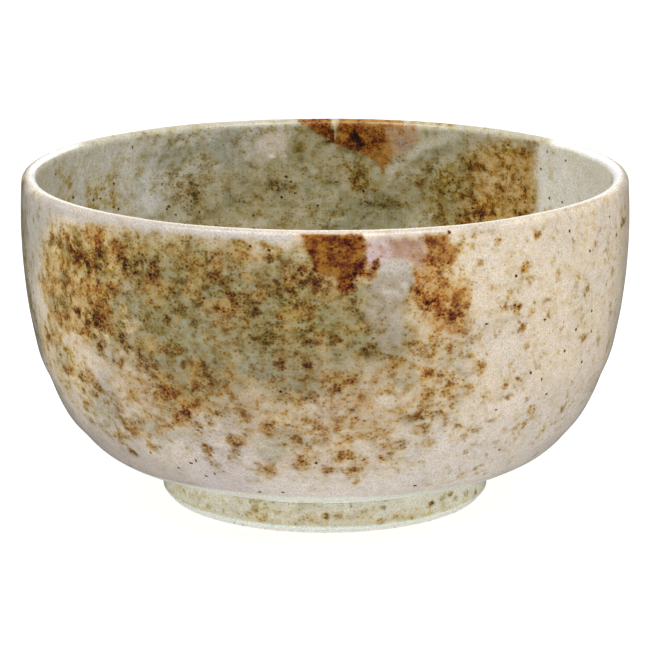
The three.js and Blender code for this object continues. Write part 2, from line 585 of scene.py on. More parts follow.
def bare_clay(name):
    """Unglazed stoneware: sandy, with darker grog."""
    material = bpy.data.materials.new(name)
    n = Nodes(material)
    grain = n.noise(0.5, 3.0, 0.5, 2.0)
    grog = n.between(n.noise(1.1, 1.0, 0.5, 9.0), 0.66, 0.74, 0.0, 0.6)
    sand = n.mix(n.between(grain, 0.35, 0.65), (*colour("d3ccbd"), 1), (*colour("e6e1d6"), 1))
    look = {
        "Base Color": n.mix(grog, sand, (*colour("a08a68"), 1)),
        "Roughness": n.between(grain, 0.3, 0.7, 0.72, 0.92),
        "Normal": n.bump(grain, 0.08),
    }
    n.fill(n.shader, look)
    return material


# ---------------- outside coat

CREAM = "ded0be"
ROSE_GREY = "d4cac0"
PALE_GREY = "bab4aa"
STRAW = "cdb58c"
SAGE = "a2987e"
DUN = "c3b098"
LILAC_GREY = "c6bcb8"
MILK = "c0b8b1"
WHITE = "cdc2b6"
KHAKI = "b0a68f"
ASH = "d3c8ba"
RUST = "a37a34"
MAUVE = "b09080"
LILAC = "c2acb2"
HAZE = "aba193"

# Fields of glaze: corners, as angle and height.
PALE_LEFT = [(-120, 66), (-57, 66), (-66, 50), (-72, 38), (-70, 26), (-64, 16), (-66, 6), (-120, 6)]
SAGE_GROUND = [(-40, 63), (-5, 63), (0, 57), (14, 55), (14, 43), (6, 37), (-12, 33), (-30, 32), (-41, 38)]
SAGE_FIELD = [(-42, 60), (-5, 63), (4, 56), (14, 55), (14, 42), (6, 37), (-12, 32), (-34, 31), (-46, 40)]
STRAW_FIELD = [(-62, 57), (-53, 60.5), (-43, 62.3), (-36, 62), (-33, 51), (-39, 42), (-60, 39), (-67, 47)]
OCHRE_FIELD = [(-60, 58), (-50, 61.5), (-38, 62.5), (-34, 40), (-60, 36), (-67, 47)]
BROWN_APRON = [(-46, 38), (-12, 38), (14, 46), (24, 44), (24, 32), (8, 22), (-14, 20), (-40, 22)]
APRON = [(-62, 36), (-30, 31), (-12, 32), (14, 40), (26, 44), (28, 32), (12, 19), (-14, 18), (-56, 22)]
# The far left edge: painted shade over glaze that is a little greyer there.
LEFT_SHADED_EDGE = [(-106, 66), (-75, 66), (-74, 36), (-78, 20), (-92, 15), (-104, 24), (-122, 34), (-112, 52)]
LEFT_BACK = [(-136, 68), (-90, 68), (-90, 14), (-112, 16), (-122, 26), (-146, 34), (-150, 46), (-130, 54)]
LEFT_SKIRT = [(-74, 42), (-60, 40), (-48, 34), (-48, 22), (-58, 20), (-70, 27)]
RIGHT_SIDE = [(16, 64), (80, 64), (90, 20), (40, 12), (18, 20)]
BACK_SAGE = [(118, 62), (158, 64), (200, 62), (214, 52), (198, 38), (160, 35), (130, 40), (116, 50)]
BACK_OCHRE = [(128, 60), (140, 63), (154, 62), (156, 42), (134, 38), (126, 48)]
BACK_APRON = [(114, 44), (160, 38), (204, 42), (218, 38), (200, 24), (150, 22), (120, 30)]

# Fields of ground colour: colour, how strong, softness of the edge, corners.
OUTSIDE_GROUNDS = [
    (PALE_GREY, 1.0, 4.0, PALE_LEFT),
    (DUN, 0.9, 8.0, BROWN_APRON),
    (STRAW, 0.9, 3.0, STRAW_FIELD),
    (SAGE, 1.0, 6.0, SAGE_GROUND),
    # Painted shade at the far right edge, over glaze that is a little greyer there.
    ("9f9585", 0.5, 6.0, [(72, 66), (100, 68), (116, 56), (102, 44), (110, 32), (94, 16), (74, 20)]),
    ("a0988c", 0.6, 9.0, LEFT_BACK),
    # Painted shade at the far left edge, over glaze that is a little greyer there.
    ("8f887c", 0.85, 4.0, LEFT_SHADED_EDGE),
    ("b0a59b", 0.75, 6.0, [(-80, 20), (-50, 24), (-24, 14), (-20, 6), (-80, 6)]),
    (DUN, 0.9, 8.0, BACK_APRON),
    (SAGE, 0.95, 6.0, BACK_SAGE),
    (STRAW, 0.9, 4.0, BACK_OCHRE),
    (LILAC_GREY, 0.9, 3.0, [(-29, 22), (-26, 29), (-16, 28), (-14, 20), (-16, 12), (-29, 12)]),
    (LILAC_GREY, 0.9, 2.0, [(-53, 34), (-45, 35), (-44, 27), (-51, 26)]),
]

# Fields of iron: what it lets through, its depth, softness of the edge, corners.
OUTSIDE_IRON = [
    (OLIVE_IRON, 0.14, 4.0, PALE_LEFT),
    (OCHRE_IRON, 0.24, 9.0, LEFT_BACK),
    (OCHRE_IRON, 0.30, 5.0, LEFT_SHADED_EDGE),
    (OCHRE_IRON, 0.28, 5.0, LEFT_SKIRT),
    (OCHRE_IRON, 0.72, 2.5, STRAW_FIELD),
    (OCHRE_IRON, 0.52, 5.0, [(-38, 63.5), (0, 63), (0, 57), (12, 55), (14, 43), (-12, 36), (-38, 40)]),
    (OCHRE_IRON, 0.9, 4.0, [(-24, 63), (-1, 63), (0, 47), (-6, 43), (-11, 51), (-24, 56)]),
    (BROWN_IRON, 0.42, 5.0, [(-42, 39), (15, 44), (22, 42), (22, 32), (-14, 32), (-28, 27), (-44, 27)]),
    (BROWN_IRON, 0.32, 6.0, [(-14, 33), (6, 32), (20, 32), (12, 26), (6, 20), (-6, 21), (-12, 27)]),
    (BROWN_IRON, 0.42, 5.0, [(16, 58), (24, 58), (28, 44), (25, 35), (16, 35)]),
    (BROWN_IRON, 0.40, 6.0, BACK_APRON),
    (OCHRE_IRON, 0.50, 5.0, BACK_SAGE),
    (OCHRE_IRON, 0.80, 4.0, BACK_OCHRE),
]

# Blotches of ground colour: colour, how strong, size, share of the field, seed, corners.
OUTSIDE_TINTED = [
    (KHAKI, 0.6, 4.5, 0.28, 51, SAGE_FIELD),
    ("939480", 0.5, 6.0, 0.36, 53, SAGE_FIELD),
    ("b79d6c", 0.6, 3.4, 0.25, 55, SAGE_FIELD),
    ("ddd0b4", 0.8, 3.6, 0.28, 57, OCHRE_FIELD),
    ("a99f80", 0.7, 5.0, 0.25, 59, OCHRE_FIELD),
    (ASH, 0.8, 3.6, 0.30, 61, APRON),
    ("a9a493", 0.6, 5.0, 0.25, 63, APRON),
    ("dcc8a2", 0.2, 5.0, 0.30, 65, RIGHT_SIDE),
    ("cfc6bb", 0.25, 6.0, 0.30, 67, RIGHT_SIDE),
    (KHAKI, 0.6, 5.5, 0.28, 51, BACK_SAGE),
    ("93937b", 0.5, 7.0, 0.36, 53, BACK_SAGE),
    (ASH, 0.8, 5.0, 0.30, 61, BACK_APRON),
]

# Blotches of added iron: depth, size, share of the field, seed, corners.
OUTSIDE_GATHERED = [
    (0.8, 2.6, 0.27, 71, SAGE_FIELD),
    (0.9, 2.6, 0.26, 73, OCHRE_FIELD),
    (0.8, 2.4, 0.20, 75, APRON),
    (0.9, 2.2, 0.18, 75, LEFT_SKIRT),
    (0.8, 3.0, 0.22, 79, LEFT_SHADED_EDGE),
    (0.7, 3.0, 0.18, 79, LEFT_BACK),
    (0.6, 1.9, 0.07, 77, RIGHT_SIDE),
    (0.9, 3.4, 0.25, 71, BACK_SAGE),
    (0.9, 3.0, 0.30, 73, BACK_OCHRE),
    (0.8, 2.6, 0.22, 75, BACK_APRON),
]

# Places where the iron gathers: angle, height, half width, half height.
OUTSIDE_CLUSTERS = [
    (-63.5, 49, 2.0, 1.2), (-58, 49.5, 2.6, 1.0), (-53, 50.7, 2.2, 0.8), (-47, 51, 2.4, 0.9),
    (-39, 52, 2.4, 1.2), (-35, 52.5, 1.4, 0.9), (-32, 55.5, 1.0, 0.9), (-31, 54, 2.0, 0.8),
    (-44.5, 47, 2.2, 1.4), (-43.5, 44.3, 1.8, 1.1), (-57.5, 43, 3.0, 1.5), (-51, 42, 2.6, 0.9),
    (-59, 39, 2.0, 0.7), (-50, 32.8, 1.9, 1.5), (-64, 37, 1.8, 0.9), (-55, 59, 1.8, 1.1),
    (-45, 61, 3.0, 1.6), (-40, 59, 2.0, 2.2), (-19, 59, 1.6, 2.4), (-13, 61, 2.0, 1.2),
    (-16, 53.5, 1.4, 1.0), (-11.5, 53, 1.2, 1.0), (-18, 50.5, 1.8, 1.0), (-18, 48, 1.4, 1.0),
    (-3, 50.5, 1.2, 1.6), (-1, 46, 1.2, 1.2), (-6, 58, 1.4, 2.4), (-38, 31, 1.6, 1.0),
    (-30, 33, 1.4, 2.2), (-26, 31, 2.2, 1.4), (-28, 28, 2.2, 1.6), (-33, 26, 1.6, 2.2),
    (-42, 23.5, 2.2, 1.4), (-11, 28, 1.6, 2.0), (-17, 24.5, 1.6, 1.2), (-12, 18, 1.2, 1.4),
    (-5, 20, 1.0, 1.4), (-58, 32.5, 2.0, 1.2), (-54, 26.5, 1.4, 1.0), (6, 34, 2.2, 1.5),
    (12, 40.5, 2.2, 1.0), (5, 38.3, 3.2, 0.8), (19, 38.5, 1.4, 1.1), (18.5, 33.2, 1.2, 1.7),
    (28.5, 38.6, 1.6, 1.2), (11, 35.5, 1.4, 0.9), (4, 26, 1.2, 1.2), (2, 28.5, 1.2, 1.2),
    (3.5, 22.5, 1.2, 1.1), (5.5, 18, 1.0, 1.4), (0.5, 19, 1.0, 1.2), (12.5, 24, 1.0, 0.8),
    (18.5, 27, 1.4, 1.4), (20.5, 24, 1.0, 0.8), (11, 21, 0.9, 1.2),
]

# Round spots of iron: angle, height and half size.
DEEP_SPOTS = [
    (30, 53.3, 0.9), (36, 48.8, 0.8), (37.5, 44.7, 0.8), (28.5, 38.5, 1.0), (18.5, 33.2, 1.0),
    (21.3, 38, 0.5), (13.8, 32, 0.6), (71, 61, 0.9), (63, 33.3, 0.6), (30.5, 32.2, 0.6),
]
FAINT_SPOTS = [
    (37.5, 56.5, 1.0), (33, 49.3, 0.7), (39.5, 47.5, 0.6), (39, 41, 0.7), (40, 62, 0.7),
    (31.5, 62, 0.7), (44.5, 56.7, 0.7), (44, 27, 1.2), (43, 24.2, 0.6), (28, 24.3, 0.7), (29, 26, 0.6),
    (62, 53, 0.6), (56, 39.2, 0.6), (72, 34.5, 0.8), (66.5, 50.3, 0.6), (-45, 17.6, 1.3),
    (-38, 20.5, 1.1), (-24, 54, 1.0), (-27.5, 53, 0.8), (35, 34, 0.6), (21, 24, 0.6), (6.7, 15.7, 0.7),
    (34, 52, 0.6), (49, 54.5, 0.5),
]

# Pins: angle and height.
OUTSIDE_PINS = [
    (-33.3, 16.3), (-27.5, 19), (-29, 18.2), (-26.8, 15.3), (-24.3, 16.3), (-52.3, 13), (-9.7, 12.8),
    (-15.3, 12.4), (-1.8, 20.6), (-75, 52.5), (-71.5, 47), (-71, 45), (-73.5, 48.8), (-72, 39),
    (-71, 30.5), (-8, 35.5), (-13, 62.5), (-9.7, 62), (55.7, 56.5), (63.7, 48.3), (52.7, 41.6),
    (59, 40), (57.3, 34.2), (50, 38), (41, 35.3), (44.5, 33.3), (58, 44.3), (43, 45.5), (29.5, 46.7),
    (49, 61.3), (35.5, 55), (38.5, 19.6), (20.5, 13.8), (71, 43.5), (64, 61.3), (22, 64.6), (-32, 55.5),
    (-39, 19), (34, 29), (47, 30), (68, 57),
]

clay_crest = [(RIM_RADIUS - LIP_RADIUS, HEIGHT - GLAZE)]
clay_corner = [(CLAY_FOOT_RADIUS, FOOT_HEIGHT - FILLET), (CLAY_FOOT_RADIUS, FOOT_HEIGHT)]
outer_face = joined(even(outer_lip, LIP_STEP), even(outside_curve, WALL_STEP), even(pool_curve, FOOT_STEP))
outer_back = np.vstack([clay_corner, behind(outside_curve), clay_crest])
outer = Coat(outer_face, outer_back, WALL_SIDES, ring=True)


def paint_outside(coat):
    """Cream glaze with fields of sage, straw and grey, iron over them, and runs from the lip. It also
    carries painted shade at the far left and right, a painted highlight on the near lip, and a painted
    reflection of the floor in the pool.
    """
    p = Paint(coat, CREAM, TAN_IRON, 0.10)
    p.tint(ROSE_GREY, p.band(-9, 29, 8, 2))
    p.tint_areas(OUTSIDE_GROUNDS, 5.0)
    p.tint_blotches(OUTSIDE_TINTED, 4.0, 4.0)
    p.iron(TAN_IRON, 0.06, p.band(-9, 20, 5, 2))
    p.iron_areas(OUTSIDE_IRON, 5.0)
    p.gather_blotches(OUTSIDE_GATHERED, 3.0, 4.0)
    for angle, height, wide, high in OUTSIDE_CLUSTERS:
        cover = p.spot(angle, height, wide, high, 0.9, 1.2)
        p.tint("b8945c", cover, 0.4)
        p.iron(RUSSET_IRON, 0.5, 0.8 * cover)
        p.gather(0.85, cover)
    for more, spots in ((0.8, DEEP_SPOTS), (0.5, FAINT_SPOTS)):
        p.clots(RUSSET_IRON, 0.3, more, [(a, h, size, size) for a, h, size in spots], 0.5, 0.5)
    p.prick(OUTSIDE_PINS)
    scatter_behind(p)
    paint_rim_outside(p)
    paint_brown_runs(p)
    paint_lilac_run(p)
    paint_rust_run(p)
    paint_back_run(p)
    paint_lip_highlight(p)
    paint_pool_and_reflection(p)
    return p


def scatter_behind(p):
    """Spots and pins of iron on the side away from the camera."""
    chance = np.random.default_rng(4)
    p.prick(zip(chance.uniform(86, 270, 70), chance.uniform(12, 63, 70)))
    places = zip(chance.uniform(86, 250, 40), chance.uniform(14, 62, 40))
    p.clots(RUSSET_IRON, 0.3, 0.7, [(angle, height, 0.8, 0.8) for angle, height in places], 0.5, 0.6)


def paint_brown_runs(p):
    """Two patches of brown iron right of the front."""
    upper = p.area([(17.5, 64.5), (21.5, 64.4), (24, 61), (22, 58.6), (18, 59.5)], 0.7, 1.2)
    p.lay("bb9662", BROWN_IRON, 0.58, upper)
    p.gather(1.2, p.spot(19.5, 63.7, 1.8, 0.4, 0.4, 0.4) + p.spot(18.5, 61.5, 0.6, 1.6, 0.5, 0.6))
    tan = p.area([(15, 60), (18, 60), (27, 52), (25, 46), (19, 47), (15, 52)], 2.0, 3.0)
    p.lay("cbab7c", BROWN_IRON, 0.8, tan, 0.9)
    slanting = [(15.2, 55), (17.5, 55.5), (20, 53), (24.5, 50), (24, 48), (19.5, 49.5), (16.5, 51)]
    lower = p.area(slanting, 0.9, 1.8)
    p.iron(BROWN_IRON, 1.7, lower)
    darker = [(17.3, 50.7, 1.0, 0.8), (22, 49, 2.2, 0.6), (15.6, 54, 0.6, 0.9), (18.5, 52.5, 1.0, 1.0)]
    p.gather_spots(1.6, darker, 0.6, 0.8)


def paint_lilac_run(p):
    """Lilac and mauve under the lip. Below them a grey-white blob edged in brown, and a pale run."""
    mauve = p.area([(10.5, 64), (17, 64), (17.5, 61), (16.5, 58), (14, 60), (10.5, 60.3)], 0.9, 1.2)
    p.lay(MAUVE, BROWN_IRON, 0.10, mauve, 0.95)
    p.tint("9a7c78", p.spot(13.5, 63.4, 3.4, 0.5, 0.5, 0.5), 0.6)
    below = p.area([(7.5, 55), (13.5, 54.5), (14, 46), (12, 43.5), (8, 45)], 1.2, 1.8)
    p.tint(HAZE, below, 0.8)
    p.iron(TAN_IRON, 0.28, 0.8 * below)
    outline = p.area([(9, 60.4), (14.8, 60.4), (16, 58.5), (15.8, 55), (14.6, 53.6), (9, 54)], 0.5, 0.7)
    p.iron(BROWN_IRON, 1.3, outline * p.area([(15, 61), (18, 61), (18, 52), (14.3, 52)], 0.5, 0.7))
    rounded = [(7.5, 59.8), (14.3, 60), (15.4, 58.3), (15.2, 55.4), (14, 53.5), (9, 54.5), (7.5, 56.5)]
    blob = p.area(rounded, 0.4, 0.7)
    p.lay(HAZE, TAN_IRON, 0.14, blob)
    p.tint("c4bcb0", blob * p.blotches(1.8, 0.4, 85), 0.7)
    lilac = p.area([(6.3, 64), (10.8, 64), (10.6, 60.5), (9, 58.6), (6.3, 58.4)], 0.6, 1.0)
    p.lay(LILAC, BROWN_IRON, 0.12, lilac)
    p.tint("d3c6cb", lilac * p.blotches(0.9, 0.3, 81), 0.7)


def paint_rust_run(p):
    """The thick iron run at the front, darkest along its right side and at its tips."""
    right = [(-5.3, 66.5), (5.6, 66.5), (6.7, 63.9), (7.4, 61.4), (6.6, 58.9), (5.2, 57.0), (4.8, 54.6)]
    left = [(2, 54.8), (2.6, 56.4), (1.4, 57.7), (-1.1, 58.5), (-1.9, 60.8), (-4.0, 62.6)]
    rust = p.area(right + left, 0.5, 1.5)
    hook = p.area([(6.0, 58.5), (7.6, 58.4), (8.7, 60.6), (9.2, 59.5), (8.3, 57.2), (6.2, 57)], 0.4, 0.4)
    run = np.maximum(rust, hook)
    p.lay(RUST, RUST_IRON, 1.25, run)
    p.gather(0.8, rust * p.blotches(2.2, 0.35, 83))
    darker = [
        (6.3, 60.8, 1.0, 2.6), (1.5, 60, 1.0, 1.4), (-0.8, 63.8, 0.9, 0.6), (3.8, 55.2, 1.5, 0.7),
        (7.3, 57.8, 1.1, 0.7), (-1.8, 58.7, 0.9, 0.9), (0.6, 56.2, 0.7, 0.7), (-4.8, 64.5, 0.7, 0.4),
        (3.8, 58, 1.2, 1.0), (-3.9, 58.6, 0.8, 0.9), (-1.6, 56.3, 1.2, 0.9),
    ]
    p.clots(RUST_IRON, 1.2, 1.2, darker, 0.6, 0.8)
    worn = p.band(65.02, 70, 0.12, 0.12) * p.area([(-7, 70), (8, 70), (8, 60), (-7, 60)], 1.0, 0.5)
    p.lay(WHITE, TAN_IRON, 0.10, worn)


def paint_rim_outside(p):
    """Milky glaze that thickens on and just under the lip."""
    hanging = [(-66, 62.8), (-42, 63.6), (-12, 63.9), (-8, 62.9), (-5.8, 63.8), (-4, 66.5), (-66, 66.5)]
    milk = p.area(hanging, 0.5, 0.6)
    p.lay(MILK, TAN_IRON, 0.05, milk, 0.9)
    white = p.area([(9, 64.2), (30, 64.2), (40, 66.5), (9, 66.5)], 0.6, 0.8)
    p.lay(WHITE, TAN_IRON, 0.05, white, 0.9)
    p.lay(MILK, OLIVE_IRON, 0.06, p.band(65.2, 70, 0.2, 0.2), 0.6)


def paint_lip_highlight(p):
    """Painted highlight: the crest of the lip, bright on the near side."""
    line = p.band(65.42, 70, 0.05, 0.0) * p.area([(-112, 70), (112, 70), (112, 60), (-112, 60)], 4, 0)
    # Painted highlight along the near crest of the lip.
    p.lay("eadfcc", TAN_IRON, 0.02, line)


def paint_back_run(p):
    """The far side of the iron run that comes over the rim from the inside."""
    run = p.area([(160, 66), (178, 66), (177, 59), (173, 53), (170, 57), (165, 61)], 0.6, 1.5)
    p.lay(RUST, RUST_IRON, 1.25, run)
    p.gather(0.9, run * p.blotches(2.4, 0.35, 83))
    pale = p.area([(178.5, 65), (196, 65), (192, 58), (182, 55)], 0.8, 1.5)
    p.lay(HAZE, TAN_IRON, 0.14, pale)


def paint_pool_and_reflection(p):
    """Pale clear glaze gathered on the underside and in the corner over the foot. Its paleness is partly the
    glaze and partly a painted reflection of the bright floor.
    """
    # Pale pool: partly glaze, partly a painted reflection of the bright floor.
    p.lay("e2e4d8", OLIVE_IRON, 0.03, p.band(5, 11.6, 0.3, 0.25))


# ---------------- inside coat

clay_middle = [(0, FLOOR_HEIGHT - GLAZE)]
inner_face = joined(even(floor_curve, FLOOR_STEP), even(inside_curve, WALL_STEP), even(inner_lip, LIP_STEP))
inner_back = np.vstack([clay_crest, behind(inside_curve), clay_middle])
inner = Coat(inner_face, inner_back, WALL_SIDES, ring=False)

OLIVE = "b0a88c"
INSIDE_OLIVE = [(-44, 66), (30, 66), (30, 20), (-44, 20)]
INSIDE_OCHRE = [(27, 57), (34, 61), (50, 62.5), (51, 38), (24, 38), (23, 50)]
MILKY_STREAK = [(-50, 64), (-44, 65), (-38, 55), (-40, 46), (-46, 46), (-45, 54)]
INSIDE_STRAW = [(35, 60), (40, 62), (52.5, 63), (53, 36), (36, 36), (31, 44), (34, 53)]
NEAR_LEFT = [(-176, 66), (-94, 66), (-94, 32), (-112, 36), (-130, 46), (-150, 50), (-158, 58)]
NEAR_RIGHT = [(88, 68), (176, 68), (166, 60), (148, 57), (144, 49), (124, 44), (112, 32), (88, 28)]

# The same kinds of table as outside.
INSIDE_GROUNDS = [
    ("cecdc8", 0.7, 8.0, NEAR_LEFT),
    ("d0cfcb", 0.9, 4.0, [(-100, 66), (-42, 66), (-42, 50), (-50, 40), (-100, 40)]),
    ("cdccc9", 0.9, 3.0, [(-42, 66), (-8, 66), (-8, 58), (-30, 54), (-42, 48)]),
    ("c9c6c2", 0.9, 2.0, [(-52, 53), (-44, 54), (-41, 47), (-50, 47)]),
    ("d6d5d3", 0.8, 2.5, MILKY_STREAK),
    ("bdb6a4", 0.8, 2.5, [(24, 65), (50, 65), (50, 60), (34, 60), (22, 58)]),
    ("dcc095", 0.9, 4.0, INSIDE_STRAW),
    ("f2f0ea", 1.0, 1.6, [(51.5, 66), (106, 66), (104, 30), (50.5, 30)]),
    ("ddd9cc", 1.0, 9.0, NEAR_RIGHT),
]
INSIDE_IRON = [
    (OLIVE_IRON, 0.20, 8.0, NEAR_LEFT),
    (OLIVE_IRON, 0.17, 4.0, [(-100, 66), (-42, 66), (-42, 50), (-50, 40), (-100, 40)]),
    (OLIVE_IRON, 0.14, 2.5, MILKY_STREAK),
    (OCHRE_IRON, 0.55, 1.5, [(-60, 57), (-51, 58), (-50, 50), (-60, 50)]),
    (OCHRE_IRON, 0.45, 1.5, [(-73, 62), (-65, 62), (-66, 54), (-72, 54)]),
    (OCHRE_IRON, 0.62, 1.2, INSIDE_OCHRE),
    (OCHRE_IRON, 0.60, 2.0, [(2, 57), (12, 53.5), (12, 50), (3, 52)]),
    (TAN_IRON, 0.07, 1.6, [(52, 66), (106, 66), (104, 30), (51, 30)]),
    (TAN_IRON, 0.12, 9.0, NEAR_RIGHT),
]
INSIDE_TINTED = [
    ("8f927a", 0.5, 7.0, 0.35, 51, INSIDE_OLIVE),
    ("c4beac", 0.6, 5.0, 0.28, 53, INSIDE_OLIVE),
    ("e2d4b6", 0.6, 3.5, 0.25, 57, INSIDE_STRAW),
]
INSIDE_GATHERED = [
    (0.4, 3.0, 0.20, 71, INSIDE_OLIVE),
    (0.9, 3.2, 0.30, 73, INSIDE_OCHRE),
]
INSIDE_CLUSTERS = [
    (24, 57, 1.4, 1.2), (32, 55, 2.0, 1.8), (38, 57, 2.2, 1.8), (35, 53, 1.8, 1.4), (44, 56, 1.8, 1.8),
    (47, 54, 1.6, 2.4), (42, 51, 2.0, 1.2), (34.5, 48, 1.8, 1.6), (31, 46.5, 1.8, 1.2),
    (-34, 55, 1.6, 1.2), (-29.5, 51.5, 1.4, 2.0), (-16, 63, 2.0, 1.6), (8, 50, 1.8, 2.2),
    (-12, 52, 1.6, 2.0), (14, 47, 2.4, 1.6),
]
INSIDE_PINS = [
    (-45.5, 62.5), (-51, 55.5), (-58, 53.2), (-55.5, 53), (-51.5, 50.7), (-50, 50), (-65.5, 55),
    (-74, 61.5), (-73.5, 56.5), (-37.5, 53.5), (-36, 48.5), (-36.6, 48.2), (-34.5, 46.5), (-28.5, 46.5),
    (-19, 48.3), (-8.5, 53), (-7.5, 52), (-6.5, 49.5), (-9.5, 48.5), (-16, 45), (-16, 42), (-1.5, 46.5),
    (2.5, 51.7), (8.5, 50), (52.5, 59), (55.5, 53.2), (43, 62.7), (54.5, 63), (61, 62), (60, 53),
    (34, 48), (31, 46), (48, 51),
]


def paint_inside(coat):
    """Olive glaze with paler fields at both sides, and a celadon pool on the floor."""
    p = Paint(coat, OLIVE, OLIVE_IRON, 0.40, inside=True)
    p.tint_areas(INSIDE_GROUNDS, 2.0)
    p.tint_blotches(INSIDE_TINTED, 3.0, 3.0)
    p.iron_areas(INSIDE_IRON, 2.5)
    p.gather_blotches(INSIDE_GATHERED, 1.5, 2.0)
    p.gather_spots(0.7, INSIDE_CLUSTERS, 0.9, 1.2)
    p.prick(INSIDE_PINS)
    p.lay("99a089", OLIVE_IRON, 0.25, p.band(0, 14, 0.8, 0.5), 0.7)
    paint_rim_inside(p)
    paint_white_patch(p)
    paint_rust_inside(p)
    return p


def paint_rim_inside(p):
    """Pale glaze on the lip, whitest at the right, with a painted highlight along the crest on the near
    side.
    """
    lip = p.band(64.2, 70, 0.6, 0.4)
    p.lay("c6c2b0", TAN_IRON, 0.12, lip, 0.8)
    right = lip * p.area([(55, 70), (125, 70), (125, 60), (55, 60)], 3, 1)
    p.lay("fbfaf4", TAN_IRON, 0.02, right)
    # Painted highlight: a white line along the crest of the near lip.
    line = p.band(65.0, 70, 0.1, 0.0) * p.area([(62, 70), (298, 70), (298, 60), (62, 60)], 4, 0)
    p.lay("ffffff", TAN_IRON, 0.0, line)


def paint_white_patch(p):
    """A pinkish white patch left of the back, with a crisp lower edge."""
    upper = [(-15.5, 61.5), (-13, 63.4), (-9, 63), (-7.8, 60)]
    lower = [(-8.3, 57.2), (-10.5, 57), (-12.5, 57.6), (-14.5, 58.6)]
    patch = p.area(upper + lower, 0.9, 1.6)
    p.lay("d9cdc2", TAN_IRON, 0.10, patch, 0.9)
    for angle, height, wide in [(-11.4, 57.7, 1.0), (-9.2, 57.3, 1.1)]:
        p.tint("f4efe6", p.spot(angle, height, wide, 0.5, 0.3, 0.3))


def paint_rust_inside(p):
    """The iron run over the back rim: a white drip parts it, and paler glaze borders it on both sides."""
    under = p.area([(1, 60), (12.5, 54.6), (11, 52.5), (-1, 57.5)], 1.0, 1.0)
    p.tint("bcb7a4", under, 0.7)
    beside = p.area([(13.2, 54.6), (21, 61.2), (30, 64.8), (31, 63), (22, 59.4), (15, 53.6)], 0.7, 0.7)
    p.lay("cfcbbb", OLIVE_IRON, 0.20, beside, 0.85)
    left = p.area([(-6.5, 66), (1.3, 66), (2.1, 60.6), (-2, 63)], 0.5, 0.8)
    wedge = [(2.9, 66), (17, 66), (16.5, 61), (14.2, 56.8), (12.8, 54.6), (11, 56.6), (7, 58.6), (2.3, 60)]
    main = p.area(wedge, 0.4, 0.9)
    for run, depth in ((left, 0.8), (main, 0.55)):
        p.lay("b58c4c", RUST_IRON, depth, run)
    p.gather(0.7, main * p.blotches(2.6, 0.35, 83))
    darker = [(1.2, 61.6, 0.8, 1.6), (3.2, 60.6, 1.0, 1.2), (6, 61.5, 1.6, 1.6), (9, 59.5, 1.8, 1.2)]
    p.gather_spots(1.4, darker, 0.6, 0.8)
    tan = p.area([(13, 64), (20, 64.4), (20.5, 61.5), (16, 57.8), (14, 60)], 0.9, 1.2)
    p.lay("c3a78f", BROWN_IRON, 0.35, tan, 0.9)
    p.tint("b9a9b4", p.spot(17.3, 60.6, 1.3, 1.1, 0.5, 0.6), 0.8)
    p.iron(BROWN_IRON, 0.5, p.area([(3, 66), (30, 66), (28, 64.8), (3, 64.6)], 0.3, 0.4))
    drip = p.area([(1.2, 66), (3.0, 66), (2.2, 60.8)], 0.25, 0.15)
    p.lay("c9c5b0", OLIVE_IRON, 0.15, drip)


# ---------------- foot and underside

foot_face = [
    (FOOT_RADIUS, FOOT_HEIGHT - FILLET),
    (FOOT_RADIUS, BARE_HEIGHT + GLAZE),
    (CLAY_FOOT_RADIUS, BARE_HEIGHT),
]
foot_back = [(CLAY_FOOT_RADIUS, FOOT_HEIGHT - FILLET)]
foot = Coat(even(foot_face, FOOT_STEP), foot_back, FOOT_SIDES, ring=True)

CELADON = "e2eae0"

# Dots of iron on the foot: angle, height, half width and depth.
FOOT_DOTS = [
    (0, 3.8, 0.9, 1.6), (4.5, 3.9, 0.6, 0.9), (12, 4.2, 0.5, 1.6), (20, 5, 0.6, 2.8),
    (30.5, 2.3, 0.5, 1.6), (24.5, 2.7, 0.5, 0.9), (39.5, 3.9, 0.6, 2.8), (44, 4.7, 0.7, 0.9),
    (48.5, 4.8, 0.6, 1.6), (52, 3.5, 0.5, 1.6), (58.5, 3.5, 0.7, 0.9), (-5, 2.9, 0.5, 2.8),
    (-7, 3.3, 0.5, 1.6), (-16.5, 4.2, 0.6, 0.9), (-21, 3.3, 0.6, 0.9), (-27, 3.1, 0.6, 2.8),
    (-36, 4.6, 0.5, 0.9), (-44, 3.2, 0.6, 0.9), (66, 2.8, 0.5, 1.6), (-58, 4.0, 0.5, 0.9),
]


def paint_foot(coat):
    """Pale glaze with a straw line and a celadon hem low down, and browner in front, with dots. The hem's
    paleness is partly glaze and partly a painted reflection of the bright floor.
    """
    p = Paint(coat, "dad6c6", OLIVE_IRON, 0.17)
    p.tint("d0c08e", p.band(1.7, 2.3, 0.3, 0.2), 0.6)
    # Celadon hem: glaze, painted paler partly as a painted reflection of the bright floor.
    p.lay(CELADON, OLIVE_IRON, 0.02, p.band(-1, 1.8, 0.3, 0.2))
    p.iron(BROWN_IRON, 0.34, p.area([(-24, 4.4), (34, 4.4), (40, 1.9), (-30, 1.9)], 0.8, 0.8))
    for angle, height, size, depth in FOOT_DOTS:
        p.gather(depth, p.spot(angle, height, size, 0.8 * size, 0.3, 0.2))
    return p


